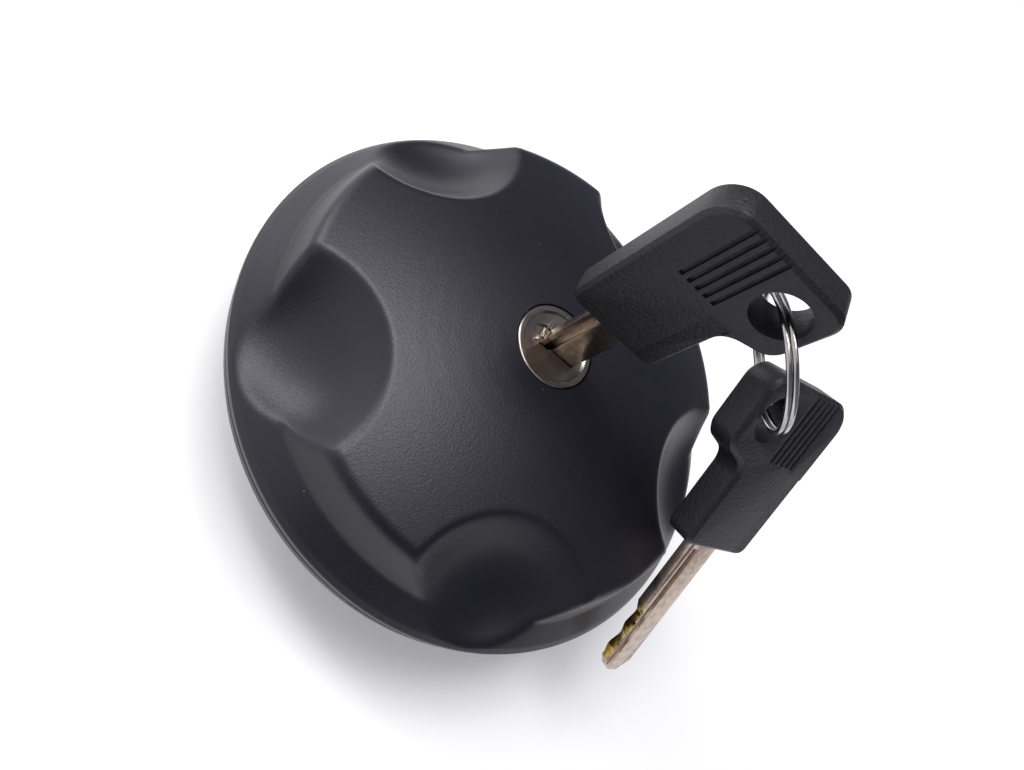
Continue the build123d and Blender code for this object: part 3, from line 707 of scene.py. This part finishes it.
def shell_sector(columns, count, softness, wall):
    """One bowl's sector of the shell as a walled grid: vertices in metres, and faces."""
    outline = shell_outline()
    angles = np.linspace(-math.pi / count, math.pi / count, columns + 1)
    radius, height = outline[:, 0][:, None], outline[:, 1][:, None]
    cos, sin = np.cos(angles)[None, :], np.sin(angles)[None, :]
    surface = np.stack(
        [radius * cos, radius * sin, height + 0 * cos], axis=-1
    )
    # rays leave a ring below the dome, so that they meet both dome and wall well
    ring = np.clip(radius - RAY_INSET, *RAY_RADIUS)
    origin = np.stack([ring * cos, ring * sin, RAY_LEVEL + 0 * ring * cos], axis=-1)
    way = surface - origin
    length = np.linalg.norm(way, axis=-1, keepdims=True)
    way = way / length
    # the edge is soft on the dome and crisp where the bowl runs out at the wall's foot
    share = np.clip((height - FOOT[1]) / (SHOULDER[1] - FOOT[1]), 0, 1)
    blend = FOOT_SOFTNESS + (softness - FOOT_SOFTNESS) * share * share
    reach = soft_min(length[..., 0], bowl_reach(origin, way), blend)
    outer = origin + way * reach[..., None]
    keep = outline[:, 1] < LIP[1] + PLAIN_BAND
    outer[keep] = surface[keep]
    normal = np.cross(np.gradient(outer, axis=1), np.gradient(outer, axis=0))
    normal /= np.linalg.norm(normal, axis=-1, keepdims=True) + 1e-12
    # the sign on the dome tells which way the grid's normals point
    inner = outer - normal * wall * np.sign(normal[DOME_ROW, columns // 2, 2])
    inner_radius = np.hypot(inner[..., 0], inner[..., 1])
    shrink = np.minimum(1, RIM_INNER / inner_radius)
    inner[..., 0] *= shrink
    inner[..., 1] *= shrink
    inner[..., 2] = np.maximum(inner[..., 2], INNER_LEVEL)
    inner[keep, :, 2] = INNER_LEVEL
    inner[-1] = np.stack(
        [RIM_INNER * cos[0], RIM_INNER * sin[0], np.full_like(cos[0], INNER_LEVEL)],
        axis=-1,
    )
    rows, across = outer.shape[0], columns + 1
    verts = np.concatenate([outer.reshape(-1, 3), inner.reshape(-1, 3)]) * MM
    x, y = verts[:, 0].copy(), verts[:, 1].copy()
    verts[:, 0] = x * math.cos(BOWL_TURN) - y * math.sin(BOWL_TURN)
    verts[:, 1] = x * math.sin(BOWL_TURN) + y * math.cos(BOWL_TURN)
    shift = rows * across
    faces = []
    for i in range(rows - 1):
        for j in range(columns):
            a, b = i * across + j, (i + 1) * across + j
            faces.append((a, b, b + 1, a + 1))
            faces.append((shift + a, shift + a + 1, shift + b + 1, shift + b))
    for j in range(columns):
        last = (rows - 1) * across + j
        faces.append((j, j + 1, shift + j + 1, shift + j))
        faces.append((last, shift + last, shift + last + 1, last + 1))
    return verts, faces


# ---- geometry node trees -----------------------------------------------------------
def socket_id(tree, name):
    """Identifier of a tree's input, by its name."""
    for item in tree.interface.items_tree:
        if item.item_type == "SOCKET" and item.in_out == "INPUT" and item.name == name:
            return item.identifier
    raise RuntimeError("no input named " + name)


def new_tree(name, inputs):
    """A geometry node tree with named inputs and one geometry output."""
    tree = bpy.data.node_groups.new(name, "GeometryNodeTree")
    for label, kind, default in inputs:
        item = tree.interface.new_socket(label, in_out="INPUT", socket_type=kind)
        if default is not None:
            item.default_value = default
    tree.interface.new_socket(
        "Geometry", in_out="OUTPUT", socket_type="NodeSocketGeometry"
    )
    source = tree.nodes.new("NodeGroupInput")
    return tree, {label: source.outputs[label] for label, _, _ in inputs}


def sectors_tree():
    """Repeats a sector of mesh round the Z axis and joins the copies."""
    tree, given = new_tree(
        "round repeat",
        [
            ("Sector", "NodeSocketGeometry", None),
            ("Count", "NodeSocketInt", 5),
            ("Material", "NodeSocketMaterial", None),
        ],
    )
    spots = add(
        tree,
        "GeometryNodeMeshLine",
        {"Count": given["Count"], "Offset": (0, 0, 0)},
        mode="OFFSET",
    ).outputs["Mesh"]
    index = add(tree, "GeometryNodeInputIndex").outputs["Index"]
    turn = add(
        tree, "ShaderNodeMath", {0: index, 1: given["Count"]}, operation="DIVIDE"
    ).outputs["Value"]
    angle = add(
        tree, "ShaderNodeMath", {0: turn, 1: 2 * math.pi}, operation="MULTIPLY"
    ).outputs["Value"]
    spin = add(tree, "ShaderNodeCombineXYZ", {"Z": angle}).outputs["Vector"]
    way = add(tree, "FunctionNodeEulerToRotation", {"Euler": spin}).outputs["Rotation"]
    copies = add(
        tree,
        "GeometryNodeInstanceOnPoints",
        {"Points": spots, "Instance": given["Sector"], "Rotation": way},
    ).outputs["Instances"]
    real = add(
        tree, "GeometryNodeRealizeInstances", {"Geometry": copies}
    ).outputs["Geometry"]
    joined = add(
        tree, "GeometryNodeMergeByDistance", {"Geometry": real, "Distance": 0.01 * MM}
    ).outputs["Geometry"]
    done = add(
        tree,
        "GeometryNodeSetMaterial",
        {"Geometry": joined, "Material": given["Material"]},
    ).outputs["Geometry"]
    add(tree, "NodeGroupOutput", {"Geometry": done})
    return tree


def coil_tree():
    """A wire coiled about Z: a spiral curve with a round profile."""
    tree, given = new_tree(
        "wire coil",
        [
            ("Geometry", "NodeSocketGeometry", None),
            ("Turns", "NodeSocketFloat", 2.0),
            ("Radius", "NodeSocketFloat", 12 * MM),
            ("Height", "NodeSocketFloat", 2 * MM),
            ("Wire", "NodeSocketFloat", 1 * MM),
            ("Steps", "NodeSocketInt", 96),
            ("Material", "NodeSocketMaterial", None),
        ],
    )
    spiral = add(
        tree,
        "GeometryNodeCurveSpiral",
        {
            "Resolution": given["Steps"],
            "Rotations": given["Turns"],
            "Start Radius": given["Radius"],
            "End Radius": given["Radius"],
            "Height": given["Height"],
        },
    ).outputs["Curve"]
    half = add(
        tree, "ShaderNodeMath", {0: given["Wire"], 1: 0.5}, operation="MULTIPLY"
    ).outputs["Value"]
    profile = add(
        tree,
        "GeometryNodeCurvePrimitiveCircle",
        {"Resolution": 16, "Radius": half},
        mode="RADIUS",
    ).outputs["Curve"]
    wire = add(
        tree,
        "GeometryNodeCurveToMesh",
        {"Curve": spiral, "Profile Curve": profile, "Fill Caps": True},
    ).outputs["Mesh"]
    real = add(
        tree, "GeometryNodeRealizeInstances", {"Geometry": wire}
    ).outputs["Geometry"]
    done = add(
        tree,
        "GeometryNodeSetMaterial",
        {"Geometry": real, "Material": given["Material"]},
    ).outputs["Geometry"]
    add(tree, "NodeGroupOutput", {"Geometry": done})
    return tree


def run_tree(made, tree, values):
    """Runs a tree on an object with its inputs set, and keeps the result as a mesh."""
    modifier = made.modifiers.new(tree.name, "NODES")
    modifier.node_group = tree
    for name, value in values.items():
        modifier[socket_id(tree, name)] = value
    return bake(made)


# ---- pieces ------------------------------------------------------------------------
class CAP_OT_shell(bpy.types.Operator):
    """Make the scalloped outer shell with its finger bowls"""

    bl_idname = "filler_cap.shell"
    bl_label = "Outer Shell"

    def execute(self, context):
        sizes = context.scene.cap_sizes
        verts, faces = shell_sector(
            sizes.grid_around,
            sizes.bowl_count,
            sizes.edge_softness / MM,
            sizes.shell_wall / MM,
        )
        made = mesh_object("shell_skin", verts, faces)
        run_tree(
            made,
            sectors_tree(),
            {"Count": sizes.bowl_count, "Material": material("shell")},
        )
        smooth(made, 40)
        finish_piece(made, material("shell"), "cap", ["outer_shell"])
        return {"FINISHED"}


class CAP_OT_base(bpy.types.Operator):
    """Dress the base ring, gasket and bayonet insert under the shell"""

    bl_idname = "filler_cap.base"
    bl_label = "Base and Insert"

    def execute(self, context):
        for node, finish, slot, bevel in (
            ("base_ring", "band", "ring_plastic", 0.25),
            ("seal_gasket", "rubber", "seal_rubber", 0.3),
            ("bayonet_insert", "aluminium", "insert_metal", 0.3),
        ):
            made = dressed_copy(node, bevel)
            finish_piece(made, material(finish), "cap", [node])
        return {"FINISHED"}


class CAP_OT_lock(bpy.types.Operator):
    """Dress the lock's face, plug, housing and wafers"""

    bl_idname = "filler_cap.lock"
    bl_label = "Lock"

    def execute(self, context):
        for node, finish, slot, bevel in (
            ("lock_face", "face", "face_nickel", 0.12),
            ("lock_plug", "brass", "plug_brass", 0.1),
            ("wafers", "brass", "plug_brass", 0.1),
            ("lock_housing", "zinc", "housing_metal", 0.15),
            ("plug_clip", "steel", "clip_steel", 0.1),
        ):
            made = dressed_copy(node, bevel)
            finish_piece(made, material(finish), BODY_OF[node], [node])
        return {"FINISHED"}


class CAP_OT_mechanism(bpy.types.Operator):
    """Dress the locking bolts, drive cam, carrier, screws and vent"""

    bl_idname = "filler_cap.mechanism"
    bl_label = "Mechanism"

    def execute(self, context):
        for node, finish in (
            ("locking_bolt_right", "steel"),
            ("locking_bolt_left", "steel"),
            ("drive_cam", "steel"),
            ("cam_screw", "steel"),
            ("assembly_screws", "steel"),
            ("housing_screws", "steel"),
            ("cover_screws", "steel"),
            ("bolt_carrier", "nylon"),
            ("bolt_covers", "nylon"),
            ("vent_body", "nylon"),
            ("vent_cap", "nylon"),
            ("vent_poppet", "nylon"),
            ("vent_seal", "rubber"),
        ):
            slots = NODES[node].material_slots
            for slot in slots:
                slot.material = material(finish)
            if not slots:
                NODES[node].data.materials.append(material(finish))
        # the spring is a dressed copy with a mesh of its own
        spring = dressed_copy("vent_spring", 0.02, 1, 40)
        finish_piece(spring, material("wire"), "cap", ["vent_spring"])
        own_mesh(spring)
        return {"FINISHED"}


class CAP_OT_keys(bpy.types.Operator):
    """Dress both keys: grained heads and plated blades with bare cuts"""

    bl_idname = "filler_cap.keys"
    bl_label = "Keys"

    def execute(self, context):
        for prefix, body in (("", "key"), ("spare_", "spare_key")):
            head = dressed_copy(prefix + "key_head", 0.35, 3, 24)
            finish_piece(
                head, material("head"), body, [prefix + "key_head"]
            )
            blade = dressed_copy(prefix + "key_blade", 0.08, 2, 30)
            mark_cuts(blade, prefix)
            finish_piece(
                blade, material("blade"), body, [prefix + "key_blade"]
            )
        return {"FINISHED"}


# The ring's hole in a key, from the key's own origin, and where its blade was milled.
HOLE_ACROSS = 12.4 * MM
HOLE_ALONG = 46.3 * MM
CUTS_ACROSS = 2.6 * MM
CUTS_BELOW = -0.5 * MM
BROAD_SIDE = 0.5  # cosine to the key's normal from which a face is a broad side
PLAIN_EDGE = -0.9  # cosine to the cut side up to which a face looks away from it


def key_axes(prefix):
    """Origin and axes of a key's own plane: across, along the blade, and its normal."""
    if not prefix:
        return (
            Vector((0, 0, FACE_LEVEL)) * MM,
            Vector((1, 0, 0)),
            Vector((0, 0, 1)),
            Vector((0, -1, 0)),
        )
    hole = Vector(JOINTS["spare_key_swing"]["pos_m"])
    normal = -Vector(JOINTS["spare_key_swing"]["axis"]).normalized()
    points = np.array([v.co for v in NODES["spare_key_blade"].data.vertices])
    spread = np.cov((points - points.mean(0)).T)
    along = Vector(np.linalg.eigh(spread)[1][:, 2])
    along = (along - normal * along.dot(normal)).normalized()
    if along.z < 0:
        along = -along
    across = along.cross(normal)
    return hole - across * HOLE_ACROSS - along * HOLE_ALONG, across, along, normal


def mark_cuts(blade, prefix):
    """Marks the milled faces of a blade's cut edge, which show bare brass."""
    origin, across, along, normal = key_axes(prefix)
    flag = blade.data.attributes.new("bare_brass", "FLOAT", "FACE")
    for face in blade.data.polygons:
        middle = face.center - origin
        side = face.normal.dot(across)
        upright = abs(face.normal.dot(normal)) < BROAD_SIDE
        milled = middle.dot(across) > CUTS_ACROSS and middle.dot(along) < CUTS_BELOW
        bare = upright and milled and side > PLAIN_EDGE
        flag.data[face.index].value = 1.0 if bare else 0.0


RING_TURNS = 2.0
RING_TURN_GAP = 0.04 * MM


class CAP_OT_ring(bpy.types.Operator):
    """Make the two-turn split ring through both key heads"""

    bl_idname = "filler_cap.ring"
    bl_label = "Split Ring"

    def execute(self, context):
        sizes = context.scene.cap_sizes
        near = Vector(JOINTS["ring_swing"]["pos_m"])
        far = Vector(JOINTS["spare_key_swing"]["pos_m"])
        points = np.array([v.co for v in NODES["split_ring"].data.vertices])
        middle = points.mean(0)
        normal = Vector(np.linalg.eigh(np.cov((points - middle).T))[1][:, 0])
        if normal.z < 0:
            normal = -normal
        line = (far - near).normalized()
        way = normal.cross(line)
        centre = (near + far) / 2
        radial = np.linalg.norm(
            np.cross(points - np.array(centre), np.array(normal)), axis=1
        )
        radius = (radial.max() + radial.min()) / 2
        height = (sizes.wire + RING_TURN_GAP) * RING_TURNS
        made = mesh_object("split_ring_wire", [(0, 0, 0)], [])
        run_tree(
            made,
            coil_tree(),
            {
                "Turns": RING_TURNS,
                "Radius": float(radius),
                "Height": height,
                "Wire": sizes.wire,
                "Material": material("wire"),
            },
        )
        place = Matrix((line, way, normal)).transposed().to_4x4()
        place.translation = centre - normal * height / 2
        made.data.transform(place)
        smooth(made, 50)
        finish_piece(made, material("wire"), "ring", ["split_ring"])
        return {"FINISHED"}


# ---- stage -------------------------------------------------------------------------
# The floor, in metres: it lies a hair below the insert's foot. Its glow rises from one
# strength to the other between two distances from the origin.
FLOOR_HALF = 3
FLOOR_LEVEL = -0.0201
GLOW_DISTANCE = (0.15, 0.75)
GLOW_STRENGTH = (0.18, 0.68)
FILL_LIGHT = (0.36, 0.36, 0.39, 1)

# The screen that reflections see: the part of a cylinder, in metres.
SCREEN_SPAN = (math.radians(-112), math.radians(134))
SCREEN_AWAY = 1.0
SCREEN_LOW = -0.02
SCREEN_HIGH = 2.7
SCREEN_PANELS = 24

# Lamps as (name, place, size, power), in metres and watts, and what they point at.
LAMPS = (
    ("window softbox", (-0.13, 0.09, 0.60), (0.32, 0.32), 2.4),
    ("left strip", (-0.72, 0.24, 0.58), (0.2, 0.8), 4.4),
)
LAMP_AIM = (0, 0, 0.01)

# The camera, in millimetres and directions of the cap's own axes.
CAMERA_PLACE = (-43.39, -92.00, 142.27)
CAMERA_RIGHT = (0.731, 0.422, 0.536)
CAMERA_UP = (-0.625, 0.729, 0.279)
CAMERA_LENS = 27.07
CAMERA_SENSOR = 36
CAMERA_NEAR = 5 * MM


def background_rays(tree):
    """1 for the rays that see the background: straight, mirrored or through glass."""
    light = add(tree, "ShaderNodeLightPath")
    seen = add(
        tree,
        "ShaderNodeMath",
        {0: light.outputs["Is Camera Ray"], 1: light.outputs["Is Glossy Ray"]},
        operation="MAXIMUM",
    ).outputs["Value"]
    return add(
        tree,
        "ShaderNodeMath",
        {0: seen, 1: light.outputs["Is Transmission Ray"]},
        operation="MAXIMUM",
    ).outputs["Value"]


def make_floor(colour):
    """The white floor: a matte paper that also glows for the rays that see it."""
    low, high, level = -FLOOR_HALF, FLOOR_HALF, FLOOR_LEVEL
    floor = mesh_object(
        "floor",
        [(low, low, level), (high, low, level), (high, high, level), (low, high, level)],
        [(0, 1, 2, 3)],
    )
    paper, tree = new_material("white paper sweep")
    matte = add(tree, "ShaderNodeBsdfDiffuse", {"Color": colour}).outputs["BSDF"]
    place = add(tree, "ShaderNodeTexCoord").outputs["Object"]
    away = add(
        tree, "ShaderNodeVectorMath", {0: place}, operation="LENGTH"
    ).outputs["Value"]
    # the paper stays white where the lamps no longer reach it
    glow = add(
        tree,
        "ShaderNodeMapRange",
        {
            "Value": away,
            "From Min": GLOW_DISTANCE[0],
            "From Max": GLOW_DISTANCE[1],
            "To Min": GLOW_STRENGTH[0],
            "To Max": GLOW_STRENGTH[1],
        },
    ).outputs["Result"]
    shine = add(
        tree, "ShaderNodeEmission", {"Color": colour, "Strength": glow}
    ).outputs["Emission"]
    lift = add(
        tree, "ShaderNodeMixShader", {0: background_rays(tree), 2: shine}
    ).outputs["Shader"]
    both = add(tree, "ShaderNodeAddShader", {0: matte, 1: lift}).outputs["Shader"]
    shader_out(tree, both)
    floor.data.materials.append(paper)
    return floor


def make_screen():
    """A grey screen that only reflections see, so that the far side stays deep."""
    start, end = SCREEN_SPAN
    turns = [
        start + (end - start) * i / SCREEN_PANELS for i in range(SCREEN_PANELS + 1)
    ]
    screen = mesh_object(
        "grey_screen",
        [
            (SCREEN_AWAY * math.cos(t), SCREEN_AWAY * math.sin(t), z)
            for t in turns
            for z in (SCREEN_LOW, SCREEN_HIGH)
        ],
        [(2 * i, 2 * i + 2, 2 * i + 3, 2 * i + 1) for i in range(SCREEN_PANELS)],
    )
    grey, tree = new_material("matte grey screen")
    matte = add(tree, "ShaderNodeBsdfDiffuse", {"Color": linear("#9a9aa2")})
    shader_out(tree, matte.outputs["BSDF"])
    screen.data.materials.append(grey)
    screen.visible_camera = False
    screen.visible_diffuse = False
    screen.visible_shadow = False
    screen.visible_transmission = False
    return screen


def make_world(scene):
    """A world that is white where it is seen, and a cool fill light elsewhere."""
    world = bpy.data.worlds.new("studio")
    scene.world = world
    world.use_nodes = True
    tree = world.node_tree
    tree.nodes.clear()
    sky = add(
        tree,
        "ShaderNodeMix",
        {"Factor": background_rays(tree), "A": FILL_LIGHT, "B": (1, 1, 1, 1)},
        data_type="RGBA",
    ).outputs["Result"]
    glow = add(
        tree, "ShaderNodeBackground", {"Color": sky, "Strength": 1.0}
    ).outputs["Background"]
    add(tree, "ShaderNodeOutputWorld", {"Surface": glow})


def make_lamps(scene):
    """The lamps, each turned to the cap."""
    for name, spot, size, power in LAMPS:
        data = bpy.data.lights.new(name, "AREA")
        data.shape = "RECTANGLE"
        data.size, data.size_y = size
        data.energy = power
        lamp = bpy.data.objects.new(name, data)
        lamp.location = spot
        aim = Vector(LAMP_AIM) - Vector(spot)
        lamp.rotation_euler = aim.to_track_quat("-Z", "Y").to_euler()
        scene.collection.objects.link(lamp)


def make_camera(scene):
    """The camera, looking down on the cap with its axis leaning in the picture."""
    data = bpy.data.cameras.new("camera")
    data.sensor_width = CAMERA_SENSOR
    data.lens = CAMERA_LENS
    data.clip_start = CAMERA_NEAR
    camera = bpy.data.objects.new("camera", data)
    right = Vector(CAMERA_RIGHT).normalized()
    behind = right.cross(Vector(CAMERA_UP)).normalized()
    above = behind.cross(right)
    place = Matrix((right, above, behind)).transposed().to_4x4()
    place.translation = Vector(CAMERA_PLACE) * MM
    camera.matrix_world = place
    scene.collection.objects.link(camera)
    scene.camera = camera


class CAP_OT_stage(bpy.types.Operator):
    """Set the white floor, the lamps, the world and the camera"""

    bl_idname = "filler_cap.stage"
    bl_label = "Stage"

    def execute(self, context):
        scene = context.scene
        floor = make_floor(tuple(scene.cap_colours.floor) + (1.0,))
        screen = make_screen()
        make_world(scene)
        make_lamps(scene)
        make_camera(scene)
        scene.view_settings.view_transform = "Standard"
        return {"FINISHED"}


class CAP_PT_panel(bpy.types.Panel):
    """The cap's sizes, colours and pieces"""

    bl_idname = "CAP_PT_panel"
    bl_label = "Filler Cap"
    bl_space_type = "VIEW_3D"
    bl_region_type = "UI"
    bl_category = "Filler Cap"

    def draw(self, context):
        for group in (context.scene.cap_sizes, context.scene.cap_colours):
            column = self.layout.column(align=True)
            for name in group.__annotations__:
                column.prop(group, name)
        for operator in OPERATORS:
            self.layout.operator(operator.bl_idname)


OPERATORS = (
    CAP_OT_shell,
    CAP_OT_base,
    CAP_OT_lock,
    CAP_OT_mechanism,
    CAP_OT_keys,
    CAP_OT_ring,
    CAP_OT_stage,
)
CLASSES = (CapSizes, CapColours) + OPERATORS + (CAP_PT_panel,)


def register():
    for cls in CLASSES:
        bpy.utils.register_class(cls)
    bpy.types.Scene.cap_sizes = PointerProperty(type=CapSizes)
    bpy.types.Scene.cap_colours = PointerProperty(type=CapColours)


def unregister():
    del bpy.types.Scene.cap_colours
    del bpy.types.Scene.cap_sizes
    for cls in reversed(CLASSES):
        bpy.utils.unregister_class(cls)


def main():
    register()
    bpy.ops.filler_cap.shell()
    bpy.ops.filler_cap.base()
    bpy.ops.filler_cap.lock()
    bpy.ops.filler_cap.mechanism()
    bpy.ops.filler_cap.keys()
    bpy.ops.filler_cap.ring()
    bpy.ops.filler_cap.stage()
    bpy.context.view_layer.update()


if __name__ == "__main__":
    main()
